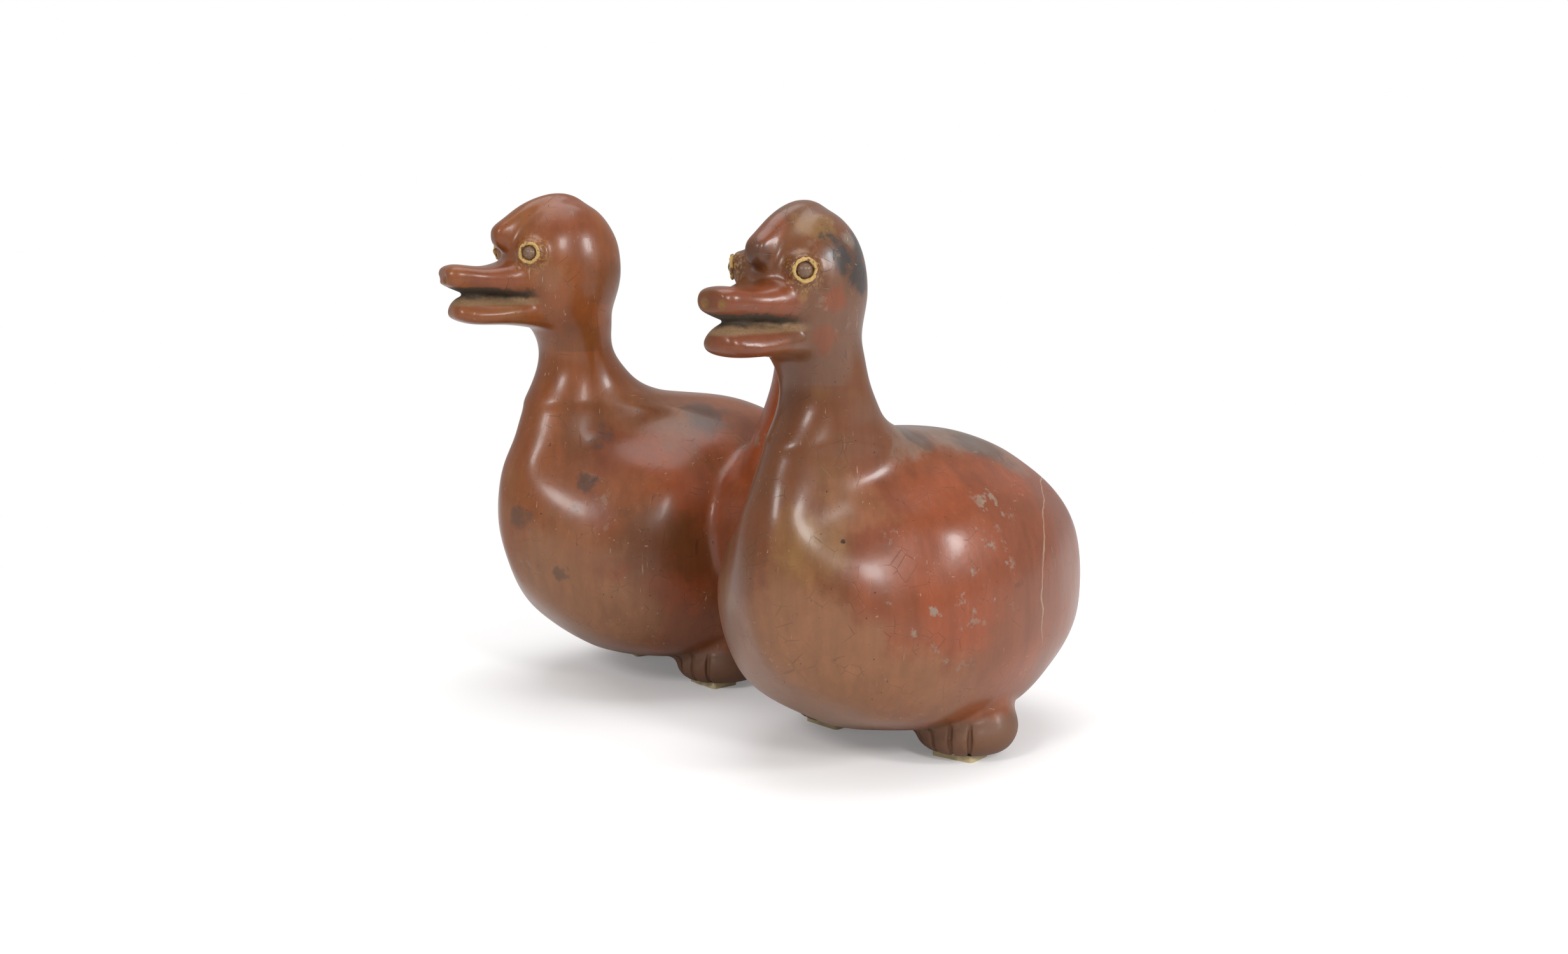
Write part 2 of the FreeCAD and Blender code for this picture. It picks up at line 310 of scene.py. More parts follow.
def finish_piece(obj, name, nodes):
    """Names a piece and ties it to the frame."""
    obj.name = name
    obj.data.name = name
    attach(obj, "root")
    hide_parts(*nodes)
    return obj


def duck_nodes(side, *names):
    """Node names of one duck's parts."""
    return [f"{side}_{name}" for name in names]


def middle_of(name):
    low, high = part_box(name)
    return (low + high) / 2


def make_bodies():
    """Both ducks, the bridge and the spout as one skin."""
    clay = list(SPOUT_NODES)
    for side in DUCKS:
        clay += duck_nodes(side, "body", "neck", "head", "outer_foot", "inner_foot", "tail")
    whole = copy_of(clay, "clay_bodies")
    spout_middle = middle_of("spout")
    add_plug(whole, (spout_middle.x, spout_middle.y, spout_plug_height),
             spout_plug_radius, spout_plug_depth)
    main = duck_nodes("left", "body", "neck", "head") + duck_nodes("right", "body", "neck", "head")
    pairs = [(main, duck_nodes(side, part)) for side in DUCKS for part in BODY_NODES[1:]]
    pairs += [(main, SPOUT_NODES), (["bridge"], ["spout"])]
    whole = clay_skin(whole, body_voxel, pairs, luting_reach, luting_rounds)
    for side in DUCKS:
        for foot in FLANKS:
            cut_toes(whole, side, foot)
    keep_normals(whole)
    return whole


def cut_toes(whole, side, foot):
    """Grooves between the toes, cut with a stick while the clay was damp."""
    outwards = 1 if side == "left" else -1
    turn = body_splay + (foot_turn if foot == "outer" else -foot_turn)
    across = foot_x if foot == "outer" else -foot_x
    local = Vector((across * cos(body_splay) - foot_y * sin(body_splay) + duck_middle_x,
                    across * sin(body_splay) + foot_y * cos(body_splay) + duck_middle_y, 0))
    middle = Vector((outwards * local.x, local.y, 0))
    edit(whole)
    bpy.ops.mesh.select_mode(type="FACE")
    bpy.ops.mesh.select_all(action="DESELECT")
    done()
    low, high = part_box(f"{side}_{foot}_foot")
    for polygon in whole.data.polygons:
        place = polygon.center
        polygon.select = (low.x - toe_margin < place.x < high.x + toe_margin
                          and place.z < toe_height + toe_margin_above
                          and (place - middle).xy.length > toe_reach[0] and place.y < middle.y)
    bpy.ops.object.mode_set(mode="EDIT")
    bpy.ops.mesh.subdivide(number_cuts=2, smoothness=0.0)
    bpy.ops.mesh.select_mode(type="VERT")
    done()

    def groove(place):
        away = place - middle
        reach = away.xy.length
        if not toe_reach[0] < reach < toe_reach[1] or place.z > toe_height or away.y > 0:
            return 0.0
        heading = atan2(outwards * away.x, -away.y) - turn
        nearest = min(abs(heading - (toe - (toe_grooves - 1) / 2) * toe_spread) for toe in range(toe_grooves))
        share = smoothstep(1.3 * (1 - nearest * reach / toe_half_width))
        return share * smoothstep((toe_height - place.z) / toe_fade)

    toes = weigh(whole, "toes", groove)
    apply_modifier(whole, "DISPLACE", strength=-toe_depth, mid_level=0.0, vertex_group=toes)
    whole.vertex_groups.clear()


def pupil_tip(side, eye):
    """Outermost point of a CAD pupil and the direction in which it looks."""
    axis = eye_axis(side, eye)
    vertices = cad[f"{side}_{eye}_pupil"].data.vertices
    return max((vertex.co for vertex in vertices), key=lambda place: place.dot(axis)), axis


def add_pupil_bed(head, side, eye):
    """Shallow floor of clay under a pellet."""
    tip, axis = pupil_tip(side, eye)
    deselect()
    bpy.ops.mesh.primitive_uv_sphere_add(segments=32, ring_count=16, radius=pupil_bed_radius,
                                         location=tip - axis * (pupil_bed_radius + pupil_bed_depth))
    bed = bpy.context.object
    bpy.ops.object.transform_apply(location=True, rotation=True, scale=True)
    bed.select_set(True)
    head.select_set(True)
    bpy.context.view_layer.objects.active = head
    bpy.ops.object.join()


def make_head(side, whole):
    """Neck, head, crest, bill and eye mounds as one fine skin that meets the body's at the seam."""
    head = copy_of(duck_nodes(side, *HEAD_NODES), side + "_head_clay")
    neck_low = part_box(side + "_neck")[0]
    neck_middle = middle_of(side + "_neck")
    add_plug(head, (neck_middle.x, neck_middle.y, neck_low.z + neck_plug_rise),
             neck_plug_radius, neck_plug_depth)
    for eye in FLANKS:
        add_pupil_bed(head, side, eye)
    main = duck_nodes(side, "neck", "head")
    pairs = [(main, [name]) for name in duck_nodes(side, *HEAD_NODES[2:])]
    head = clay_skin(head, head_voxel, pairs, head_luting_reach, head_luting_rounds)
    meet = weigh(head, "seam", lambda place: smoothstep((seam_height + seam_blend - place.z) / seam_blend))
    apply_modifier(head, "SHRINKWRAP", target=whole, wrap_method="NEAREST_SURFACEPOINT", vertex_group=meet)
    head.vertex_groups.clear()
    press_nostrils(head, side)
    keep_normals(head, whole)
    cut_at_seam(head, True)
    return head


def nostrils(side):
    """Places of the two nostrils, a little behind the tip of the upper bill."""
    low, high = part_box(side + "_upper_bill")
    outwards = 1 if side == "left" else -1
    tip = Vector((outwards * nostril_tip_x, low.y, (low.z + high.z) / 2 + nostril_rise))
    across = Vector((cos(bill_heading), outwards * sin(bill_heading), 0))
    back = Vector((-sin(bill_heading) * outwards, cos(bill_heading), 0))
    return [tip + across * (sign * nostril_spread) + back * nostril_back for sign in (-1, 1)]


def press_nostrils(head, side):
    """Pits pressed into the bill."""
    for number, place in enumerate(nostrils(side)):
        def pressed(at):
            return smoothstep(1.6 * (1 - (at - place).length / nostril_reach))

        pit = weigh(head, f"nostril_{number}", pressed)
        apply_modifier(head, "DISPLACE", strength=-nostril_depth, mid_level=0.0, vertex_group=pit)
    head.vertex_groups.clear()


def part_bodies(whole):
    """Splits the skin by the CAD part nearest to each face: left duck, right duck, bridge with spout."""
    surfaces = {side: surface_of(duck_nodes(side, "body", "neck", "head")) for side in DUCKS}
    surfaces["middle"] = surface_of(SPOUT_NODES)
    bridge_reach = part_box("bridge")[1].x + luting_reach
    owner = []
    for polygon in whole.data.polygons:
        place = polygon.center
        if abs(place.x) > bridge_reach:
            owner.append("left" if place.x > 0 else "right")
            continue
        reach = {name: distance_to(surface, place, owner_reach) for name, surface in surfaces.items()}
        owner.append(min(reach, key=reach.get))
    pieces = {"middle": whole}
    for name in DUCKS:
        edit(whole)
        bpy.ops.mesh.select_mode(type="FACE")
        bpy.ops.mesh.select_all(action="DESELECT")
        done()
        whole.data.polygons.foreach_set("select", [of == name for of in owner])
        owner = [of for of in owner if of != name]
        bpy.ops.object.mode_set(mode="EDIT")
        bpy.ops.mesh.separate(type="SELECTED")
        bpy.ops.mesh.select_mode(type="VERT")
        done()
        pieces[name] = [obj for obj in bpy.context.selected_objects if obj != whole][0]
        cut_at_seam(pieces[name], False)
    return pieces


def close_holes(obj):
    """Draws every open edge in to a point inside the clay."""
    pick(obj)
    bpy.ops.object.mode_set(mode="EDIT")
    bpy.ops.mesh.select_mode(type="EDGE")
    bpy.ops.mesh.select_all(action="DESELECT")
    bpy.ops.mesh.select_non_manifold(extend=False)
    bpy.ops.mesh.extrude_edges_move()
    bpy.ops.mesh.merge(type="COLLAPSE")
    bpy.ops.mesh.select_mode(type="VERT")
    done()


def eye_axis(side, eye):
    """Direction in which an eye looks."""
    outwards = 1 if side == "left" else -1
    turn = eye_turn if eye == "outer" else -eye_turn
    heading = turn + bill_heading
    return Vector((outwards * sin(heading), -cos(heading), 0))


def make_pupil(side, eye):
    """Round pellet of clay, set into its bed."""
    node = f"{side}_{eye}_pupil"
    tip, axis = pupil_tip(side, eye)
    middle = tip - axis * pupil_sunk
    deselect()
    bpy.ops.mesh.primitive_uv_sphere_add(segments=48, ring_count=32, radius=pupil_radius, location=middle)
    pellet = bpy.context.object
    bpy.ops.object.transform_apply(location=True, rotation=True, scale=True)
    apply_modifier(pellet, "DISPLACE", texture=grit_texture, texture_coords="LOCAL", strength=pellet_grit,
                   mid_level=0.8)
    bpy.ops.object.shade_smooth()
    return finish_piece(pellet, node + "_pellet", [node])


def make_deposit(side, eye):
    """Crumbly yellow ring that has caught round the pellet."""
    tip, axis = pupil_tip(side, eye)
    deselect()
    turn = axis.to_track_quat("Z", "Y").to_euler()
    bpy.ops.mesh.primitive_torus_add(major_segments=96, minor_segments=20, location=tip - axis * deposit_sunk,
                                     rotation=turn, major_radius=deposit_radius, minor_radius=deposit_thickness)
    ring = bpy.context.object
    bpy.ops.object.transform_apply(location=True, rotation=True, scale=True)
    apply_modifier(ring, "DISPLACE", texture=grit_texture, texture_coords="LOCAL", strength=deposit_grit,
                   mid_level=0.55)
    bpy.ops.object.shade_smooth()
    return finish_piece(ring, f"{side}_{eye}_eye_deposit", [])


def make_pad(node):
    """Felt dot: the CAD pad's outline with a soft edge."""
    pad = copy_of([node], node + "_felt")
    apply_modifier(pad, "BEVEL", width=felt_edge, segments=3, limit_method="ANGLE", angle_limit=radians(40))
    pick(pad)
    bpy.ops.object.shade_smooth_by_angle(angle=radians(50))
    return finish_piece(pad, node + "_felt", [node])


class Number:
    """A socket that carries a number; sums and products of numbers add Math nodes."""

    def __init__(self, finish, socket):
        self.finish = finish
        self.socket = socket

    def __add__(self, other):
        return self.finish.maths("ADD", self, other)

    def __radd__(self, other):
        return self.finish.maths("ADD", other, self)

    def __sub__(self, other):
        return self.finish.maths("SUBTRACT", self, other)

    def __rsub__(self, other):
        return self.finish.maths("SUBTRACT", other, self)

    def __mul__(self, other):
        return self.finish.maths("MULTIPLY", self, other)

    def __rmul__(self, other):
        return self.finish.maths("MULTIPLY", other, self)


class Finish:
    """One procedural material on Object coordinates."""

    def __init__(self, name):
        self.material = bpy.data.materials.new(name)
        self.material.use_nodes = True
        self.tree = self.material.node_tree
        self.tree.nodes.clear()
        self.place = self.node("ShaderNodeTexCoord", output="Object")

    def node(self, kind, settings=None, sockets=None, output=0):
        """Adds a node: settings first, then the values or links of its sockets. Gives one of its outputs."""
        node = self.tree.nodes.new(kind)
        settings = settings or {}
        for key in settings:
            setattr(node, key, settings[key])
        for key, value in (sockets or {}).items():
            if isinstance(value, Number):
                value = value.socket
            if isinstance(value, bpy.types.NodeSocket):
                self.tree.links.new(value, node.inputs[key])
            else:
                node.inputs[key].default_value = value
        return node.outputs[output]

    def maths(self, operation, first, second=0.0):
        return Number(self, self.node("ShaderNodeMath", {"operation": operation}, {0: first, 1: second}))

    def vector(self, operation, first, second, output="Vector"):
        return self.node("ShaderNodeVectorMath", {"operation": operation}, {0: first, 1: second}, output)

    def split(self, vector):
        """The three parts of a vector as numbers."""
        parts = self.node("ShaderNodeSeparateXYZ", sockets={0: vector}).node
        return [Number(self, parts.outputs[axis]) for axis in range(3)]

    def turned(self, vector, move=(0, 0, 0), turn=(0, 0, 0), scale=(1, 1, 1)):
        """The vector scaled, turned and moved."""
        return self.node("ShaderNodeMapping", sockets={"Vector": vector, "Location": move, "Rotation": turn,
                                                       "Scale": scale})

    def noise(self, scale, detail=3.0, roughness=0.55, distortion=0.0, at=None):
        """Cloudy number round 0.5; scale is how many waves go into a metre."""
        sockets = {"Vector": at or self.place, "Scale": scale, "Detail": detail, "Roughness": roughness,
                   "Distortion": distortion}
        return Number(self, self.node("ShaderNodeTexNoise", sockets=sockets, output="Fac"))

    def cells(self, scale):
        """Distance to the edge of irregular cells."""
        sockets = {"Vector": self.place, "Scale": scale}
        settings = {"feature": "DISTANCE_TO_EDGE"}
        return Number(self, self.node("ShaderNodeTexVoronoi", settings, sockets, "Distance"))

    def between(self, value, low, high):
        """0 below low, 1 above high, smooth in between; high may be the smaller one."""
        return Number(self, self.node("ShaderNodeMapRange", {"interpolation_type": "SMOOTHSTEP"},
                                      {"Value": value, "From Min": low, "From Max": high}, "Result"))

    def mix(self, first, second, share):
        """Colour that goes from the first to the second by the share."""
        sockets = {0: share, 6: first, 7: second}
        return self.node("ShaderNodeMix", {"data_type": "RGBA"}, sockets, 2)

    def shade(self, colour, light):
        """Colour made lighter or darker by a number round 1."""
        grey = self.node("ShaderNodeCombineColor", sockets={0: light, 1: light, 2: light})
        sockets = {0: 1.0, 6: colour, 7: grey}
        return self.node("ShaderNodeMix", {"data_type": "RGBA", "blend_type": "MULTIPLY"}, sockets, 2)

    def near(self, place, reach):
        """1 at a place, 0 beyond its reach."""
        away = Number(self, self.vector("DISTANCE", self.place, place, "Value"))
        return self.between(away, reach, 0.35 * reach)

    def bump(self, height, depth):
        """Normal from a height that is 0 to 1, with the real depth in metres."""
        sockets = {"Height": height, "Strength": 1.0, "Distance": depth}
        return self.node("ShaderNodeBump", sockets=sockets, output="Normal")

    def surface(self, colour, roughness, normal, fixed=None, coat=None):
        """Principled shader and output; fixed sockets keep one value all over."""
        sockets = {"Base Color": colour, "Roughness": roughness, "Normal": normal}
        if coat is not None:
            sockets["Coat Weight"] = coat
        sockets.update(fixed or {})
        shader = self.node("ShaderNodeBsdfPrincipled", sockets=sockets)
        self.node_output(shader)
        return self.material

    def node_output(self, shader):
        output = self.tree.nodes.new("ShaderNodeOutputMaterial")
        self.tree.links.new(shader, output.inputs["Surface"])


# Clay colours
red_slip = (0.165, 0.040, 0.012, 1)
bright_slip = (0.215, 0.046, 0.012, 1)
orange_slip = (0.185, 0.052, 0.011, 1)
brown_slip = (0.108, 0.036, 0.009, 1)
tan_slip = (0.205, 0.084, 0.034, 1)
dull_slip = (0.125, 0.056, 0.030, 1)
ochre = (0.205, 0.105, 0.030, 1)
smoke = (0.030, 0.023, 0.020, 1)
ash = (0.200, 0.150, 0.115, 1)
worn_grey = (0.215, 0.150, 0.110, 1)
crust_yellow = (0.470, 0.300, 0.100, 1)
scratch_pale = (0.420, 0.290, 0.200, 1)
bare_clay = (0.125, 0.060, 0.032, 1)
mouth_silt = (0.215, 0.125, 0.062, 1)
# Painted shade: the dark upper wall of the mouth groove, standing in for the shadow under the upper bill
mouth_painted_shade = (0.045, 0.030, 0.018, 1)
pellet_brown = (0.130, 0.060, 0.030, 1)
felt_cream = (0.620, 0.500, 0.280, 1)
felt_dirt = (0.400, 0.280, 0.140, 1)

# Polished slip: the height of its bump, and what stays the same all over
slip_relief = 0.00022
slip_roughness = 0.33
slip_coat = 0.17
slip_coat_roughness = 0.15
slip_specular = 0.36

# Waves per metre of what varies over the clay
cloud_waves = 22.0
mottle_waves = 85.0
fine_waves = 520.0
stroke_waves = 210.0
worn_waves = 150.0
fleck_waves = 340.0
scratch_waves = (900.0, 800.0)
crackle_cells = 150.0
pit_waves = 700.0
crumb_waves = 900.0

# Where the breast's tone gives way to the lobes, to the neck's above and to the belly's below
breast_spread = 0.62
breast_blend = 0.007
neck_fade = (0.098, 0.120)
belly_fade = (0.078, 0.026)

# Mouth groove: half width of the lips at the tip and how it grows, where the silty fill lies, and the upper
# band that is painted dark as shade under the upper bill
lip_half_width = 0.0055
lip_growth = 0.26
mouth_span = (0.0015, 0.0040, 0.030, 0.040)
silt_and_shade_band = (-0.0040, -0.0026, 0.0032, 0.0045)
painted_shade_span = (-0.0016, 0.0002)
eye_crust_depth = 0.002
eye_crust_reach = 0.0105

# Bare feet
foot_edge = (0.0195, 0.0145)
foot_reach = 0.034
foot_middle_height = 0.006

# Hairline crack down the near duck's flank, and a pinhole in its breast, painted nearly black as the shade
# inside it
crack_lean = (0.722, 0.692)
crack_away = 0.1045
crack_wander = 0.004
crack_edge = (0.00034, 0.00012)
crack_span = (0.040, 0.050, 0.096, 0.106)
breast_pinhole = (0.0985, -0.0505, 0.0870)
pinhole_reach = 0.0011


def local_frame(finish, middle, turn):
    """Object coordinates moved to a place and turned about the upright."""
    moved = finish.turned(finish.place, move=(-middle.x, -middle.y, -middle.z))
    return finish.turned(moved, turn=(0, 0, -turn))


def clouds(finish, colour, tone, places, raggedness=0.010):
    """Cloudy patches of one tone, each with a place, a reach and a strength."""
    wander = (finish.noise(60.0, 4.0, 0.65) - 0.5) * (raggedness * 4.0)
    for place, reach, strength in places:
        away = Number(finish, finish.vector("DISTANCE", finish.place, place, "Value"))
        colour = finish.mix(colour, tone, finish.between(away + wander, reach, reach * 0.4) * strength)
    return colour


def slip_by_region(finish, side, base, front_tone, cloud, mottle):
    """Redder wing lobes, browner breast and neck, paler and duller belly, in the duck's own frame."""
    outwards = 1 if side == "left" else -1
    middle = Vector((outwards * duck_middle_x, duck_middle_y, 0))
    x, y, z = finish.split(local_frame(finish, middle, outwards * body_splay))
    ahead = y * -breast_spread - finish.maths("ABSOLUTE", x) + (cloud - 0.5) * 0.03
    breast = finish.between(ahead, -breast_blend, breast_blend)
    front = finish.maths("MAXIMUM", breast, finish.between(z, *neck_fade))
    colour = finish.mix(base, front_tone, front * (0.80 + (mottle - 0.5) * 0.9))
    low = finish.between(z + (cloud - 0.5) * 0.05, *belly_fade)
    colour = finish.mix(colour, tan_slip, low * (0.30 + front * 0.55))
    glow = finish.between(finish.noise(38.0, 3.0, 0.5), 0.55, 0.72)
    return finish.mix(colour, ochre, glow * front * 0.28)


def clay(name, side, front_tone=brown_slip, tones=(), worn_places=()):
    """Burnished slip: tones by region, then the polishing strokes, wear, crackle, pits and scratches."""
    finish = Finish(name)
    cloud = finish.noise(cloud_waves, 4.0, 0.6)
    mottle = finish.noise(mottle_waves, 5.0, 0.62)
    fine = finish.noise(fine_waves, 4.0, 0.6)
    second_red = orange_slip if side == "right" else bright_slip
    colour = finish.mix(red_slip, second_red, finish.between(cloud, 0.42, 0.68))
    if side != "middle":
        colour = slip_by_region(finish, side, colour, front_tone, cloud, mottle)
    for tone, places, raggedness in tones:
        colour = clouds(finish, colour, tone, places, raggedness)

    strokes_at = finish.turned(finish.place, turn=(0.15, 0.1, 0), scale=(1.0, 1.0, 0.10))
    strokes = finish.noise(stroke_waves, 4.0, 0.6, at=strokes_at)
    colour = finish.shade(colour, 0.50 + strokes * 0.56 + mottle * 0.44)

    worn = finish.between(finish.noise(worn_waves, 6.0, 0.7), 0.57, 0.64)
    flecks = finish.between(finish.noise(fleck_waves, 5.0, 0.7), 0.66, 0.72)
    wear = flecks * finish.between(cloud, 0.40, 0.60) * 0.4
    for place, reach, strength in worn_places:
        wear = finish.maths("MAXIMUM", wear, finish.near(place, reach) * worn * strength)
    colour = finish.mix(colour, worn_grey, wear)

    leaning = finish.turned(finish.place, turn=(0.5, 0.35, 0.2), scale=(1.0, 1.0, 0.045))
    crossing = finish.turned(finish.place, turn=(-0.45, 0.2, 0.9), scale=(1.0, 0.05, 1.0))
    scratched = finish.maths("MAXIMUM",
                             finish.between(finish.noise(scratch_waves[0], 2.0, 0.5, at=leaning), 0.70, 0.74),
                             finish.between(finish.noise(scratch_waves[1], 2.0, 0.5, at=crossing), 0.71, 0.75))
    scratched = scratched * finish.between(finish.noise(45.0, 2.0), 0.46, 0.60)
    colour = finish.mix(colour, scratch_pale, scratched * 0.45)

    crackle = finish.between(finish.cells(crackle_cells), 0.022, 0.006) * finish.between(mottle, 0.50, 0.62)
    pits = finish.between(finish.noise(pit_waves, 2.0, 0.5), 0.735, 0.775)
    # Crackle lines darkened a little; the pits are painted darker, as painted shade inside them
    colour = finish.shade(colour, (1.0 - crackle * 0.28) * (1.0 - pits * 0.75))

    roughness = slip_roughness + (strokes - 0.5) * 0.16 + (mottle - 0.5) * 0.12
    roughness = roughness + wear * 0.32 + scratched * 0.12
    raised = strokes * 0.30 + mottle * 0.35 + fine * 0.10
    height = raised - pits * 0.8 - crackle * 0.25 - wear * 0.35 - scratched * 0.2
    gloss = slip_coat - wear * 0.14
    return finish, colour, roughness, gloss, height


def burnished(finish, colour, roughness, gloss, height):
    """Shader of the polished slip."""
    normal = finish.bump(height, slip_relief)
    fixed = {"Coat Roughness": slip_coat_roughness, "Specular IOR Level": slip_specular}
    return finish.surface(colour, roughness, normal, fixed, coat=gloss)


def body_material(side, front_tone, tones, worn_places):
    """A duck's body: burnished above, bare and matt on the feet."""
    finish, colour, roughness, gloss, height = clay(side + "_body_slip", side, front_tone, tones, worn_places)
    x, y, z = finish.split(finish.place)
    ragged = z + (finish.noise(120.0, 3.0) - 0.5) * 0.006
    on_foot = finish.between(ragged, *foot_edge)
    for foot in FLANKS:
        middle = middle_of(f"{side}_{foot}_foot")
        close = finish.near((middle.x, middle.y, foot_middle_height), foot_reach)
        patch = on_foot * finish.between(close, 0.05, 0.3)
        colour = finish.mix(colour, bare_clay, patch * 0.85)
        roughness = finish.maths("ADD", roughness, patch * 0.22)
        gloss = gloss - patch * 0.15
    if side == "left":
        wander = (finish.noise(70.0, 3.0) - 0.5) * crack_wander
        beside = finish.maths("ABSOLUTE", x * crack_lean[0] + y * crack_lean[1] + wander - crack_away)
        crack = finish.between(beside, *crack_edge) * finish.between(z, crack_span[0], crack_span[1])
        crack = crack * finish.between(z, crack_span[3], crack_span[2])
        pinhole = finish.near(breast_pinhole, pinhole_reach)
        # Pale crack; the pinhole is painted nearly black, as painted shade inside the hole
        colour = finish.shade(finish.mix(colour, scratch_pale, crack * 0.45), 1.0 - pinhole * 0.92)
        height = height - crack * 0.5 - pinhole * 2.0
    return burnished(finish, colour, roughness, gloss, height)


def head_material(side, front_tone, tones, worn_places):
    """A duck's head and neck, with silty fill in the mouth groove and the nostrils, painted shade on the
    groove's upper wall, and a crust round the eyes.
    """
    finish, colour, roughness, gloss, height = clay(side + "_head_slip", side, front_tone, tones, worn_places)
    outwards = 1 if side == "left" else -1
    tip = Vector((outwards * bill_tip_x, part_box(side + "_upper_bill")[0].y, mouth_height))
    x, y, z = finish.split(local_frame(finish, tip, outwards * bill_heading))
    lip = finish.maths("DIVIDE", finish.maths("ABSOLUTE", x), lip_half_width + y * lip_growth)
    ragged = lip + (finish.noise(300.0, 3.0) - 0.5) * 0.25
    within = finish.between(ragged, 0.97, 0.80) * finish.between(y, mouth_span[0], mouth_span[1])
    within = within * finish.between(y, mouth_span[3], mouth_span[2])
    groove = finish.between(z, silt_and_shade_band[0], silt_and_shade_band[1]) * finish.between(z, silt_and_shade_band[3], silt_and_shade_band[2])
    dust_and_shade = within * groove
    uneven = z + (finish.noise(200.0, 3.0) - 0.5) * 0.003
    # Silt-coloured low in the groove; higher up the colour turns to painted shade, standing in for the shadow
    # under the upper bill
    silt_and_painted_shade = finish.mix(mouth_silt, mouth_painted_shade, finish.between(uneven, *painted_shade_span))
    colour = finish.mix(colour, silt_and_painted_shade, dust_and_shade)
    for place in nostrils(side):
        filled = finish.near(place, nostril_reach * 1.15)
        colour = finish.mix(colour, ochre, filled * 0.9)
        dust_and_shade = finish.maths("MAXIMUM", dust_and_shade, filled)
    crumbs = finish.between(finish.noise(crumb_waves, 4.0, 0.7), 0.50, 0.60)
    for eye in FLANKS:
        eye_tip, axis = pupil_tip(side, eye)
        crust = finish.near(eye_tip - axis * eye_crust_depth, eye_crust_reach) * crumbs
        colour = finish.mix(colour, crust_yellow, crust * 0.55)
        dust_and_shade = finish.maths("MAXIMUM", dust_and_shade, crust * 0.6)
    roughness = finish.maths("ADD", roughness, dust_and_shade * 0.4)
    gloss = gloss - dust_and_shade * 0.24
    return burnished(finish, colour, roughness, gloss, height + dust_and_shade * 0.4 * crumbs)


def pellet_material():
    """Brown eye pellet, rubbed shiny on top, with yellow crumbs."""
    finish = Finish("eye_pellet")
    crumbs = finish.between(finish.noise(1100.0, 4.0, 0.7), 0.56, 0.66)
    cloud = finish.noise(260.0, 4.0, 0.6)
    colour = finish.shade(finish.mix(pellet_brown, ash, cloud * 0.5), 0.6 + cloud * 0.8)
    colour = finish.mix(colour, crust_yellow, crumbs * 0.55)
    normal = finish.bump(crumbs * 0.6 + cloud, 0.00015)
    return finish.surface(colour, 0.32 + crumbs * 0.4, normal)


def deposit_material():
    """Dry yellow crust, worn through to the clay in places."""
    finish = Finish("eye_crust")
    grain = finish.noise(1500.0, 5.0, 0.7)
    gaps = finish.between(finish.noise(420.0, 4.0, 0.6), 0.52, 0.62)
    colour = finish.shade(finish.mix(crust_yellow, dull_slip, gaps), 0.55 + grain * 0.9)
    return finish.surface(colour, 0.82, finish.bump(grain, 0.0003))


def felt_material():
    """Cream felt: matted fibres with a soft sheen."""
    finish = Finish("cream_felt")
    lengthwise = finish.noise(1400.0, 4.0, 0.7, 2.0, at=finish.turned(finish.place, scale=(1.0, 0.25, 1.0)))
    crosswise = finish.noise(1500.0, 4.0, 0.7, 2.0, at=finish.turned(finish.place, scale=(0.25, 1.0, 1.0)))
    fibres = (lengthwise + crosswise) * 0.5
    dirt = finish.between(finish.noise(180.0, 4.0), 0.45, 0.7)
    colour = finish.shade(finish.mix(felt_cream, felt_dirt, dirt * 0.5), 0.6 + fibres * 0.8)
    fixed = {"Sheen Weight": 0.3, "Sheen Roughness": 0.5}
    return finish.surface(colour, 0.92, finish.bump(fibres, 0.0005), fixed)


def dress(obj, material):
    """Gives an object one material."""
    obj.data.materials.clear()
    obj.data.materials.append(material)


# Build the pieces
whole = make_bodies()
heads = {side: make_head(side, whole) for side in DUCKS}
bodies = part_bodies(whole)
skins = {"spout_and_bridge_skin": (bodies["middle"], SPOUT_NODES)}
for side in DUCKS:
    skins[side + "_head_skin"] = (heads[side], duck_nodes(side, *HEAD_NODES))
    skins[side + "_body_skin"] = (bodies[side], duck_nodes(side, *BODY_NODES))
for name, (piece, nodes) in skins.items():
    close_holes(piece)
    use_normals(piece)
    finish_piece(piece, name, nodes)

# Tones of the near duck, which is the left one: place, reach and strength of each cloud
near_body_tones = [
    (bright_slip, [((0.118, -0.014, 0.078), 0.034, 0.45), ((0.119, -0.018, 0.060), 0.020, 0.9),
                   ((0.102, -0.010, 0.098), 0.018, 0.5), ((0.077, -0.045, 0.075), 0.020, 0.5)], 0.008),
    (tan_slip, [((0.0975, -0.056, 0.046), 0.030, 0.8), ((0.090, -0.066, 0.055), 0.028, 0.7),
                ((0.108, -0.037, 0.032), 0.028, 0.8), ((0.117, -0.015, 0.030), 0.018, 0.5),
                ((0.096, -0.044, 0.097), 0.016, 0.5)], 0.010),
    (ochre, [((0.095, -0.058, 0.085), 0.015, 0.35), ((0.089, -0.063, 0.090), 0.012, 0.35)], 0.006),
    (ash, [((0.079, 0.015, 0.116), 0.020, 0.5), ((0.086, -0.013, 0.118), 0.014, 0.45),
           ((0.084, 0.036, 0.110), 0.018, 0.4)], 0.008),
    (smoke, [((0.087, 0.026, 0.111), 0.014, 0.5), ((0.083, -0.002, 0.117), 0.008, 0.5)], 0.010),
]
near_body_worn = [((0.120, -0.004, 0.072), 0.024, 0.9), ((0.118, -0.026, 0.069), 0.018, 0.9),
                  ((0.116, -0.034, 0.062), 0.016, 0.8), ((0.1205, -0.019, 0.052), 0.018, 0.7),
                  ((0.110, 0.010, 0.0945), 0.013, 0.8), ((0.113, -0.036, 0.085), 0.012, 0.6)]
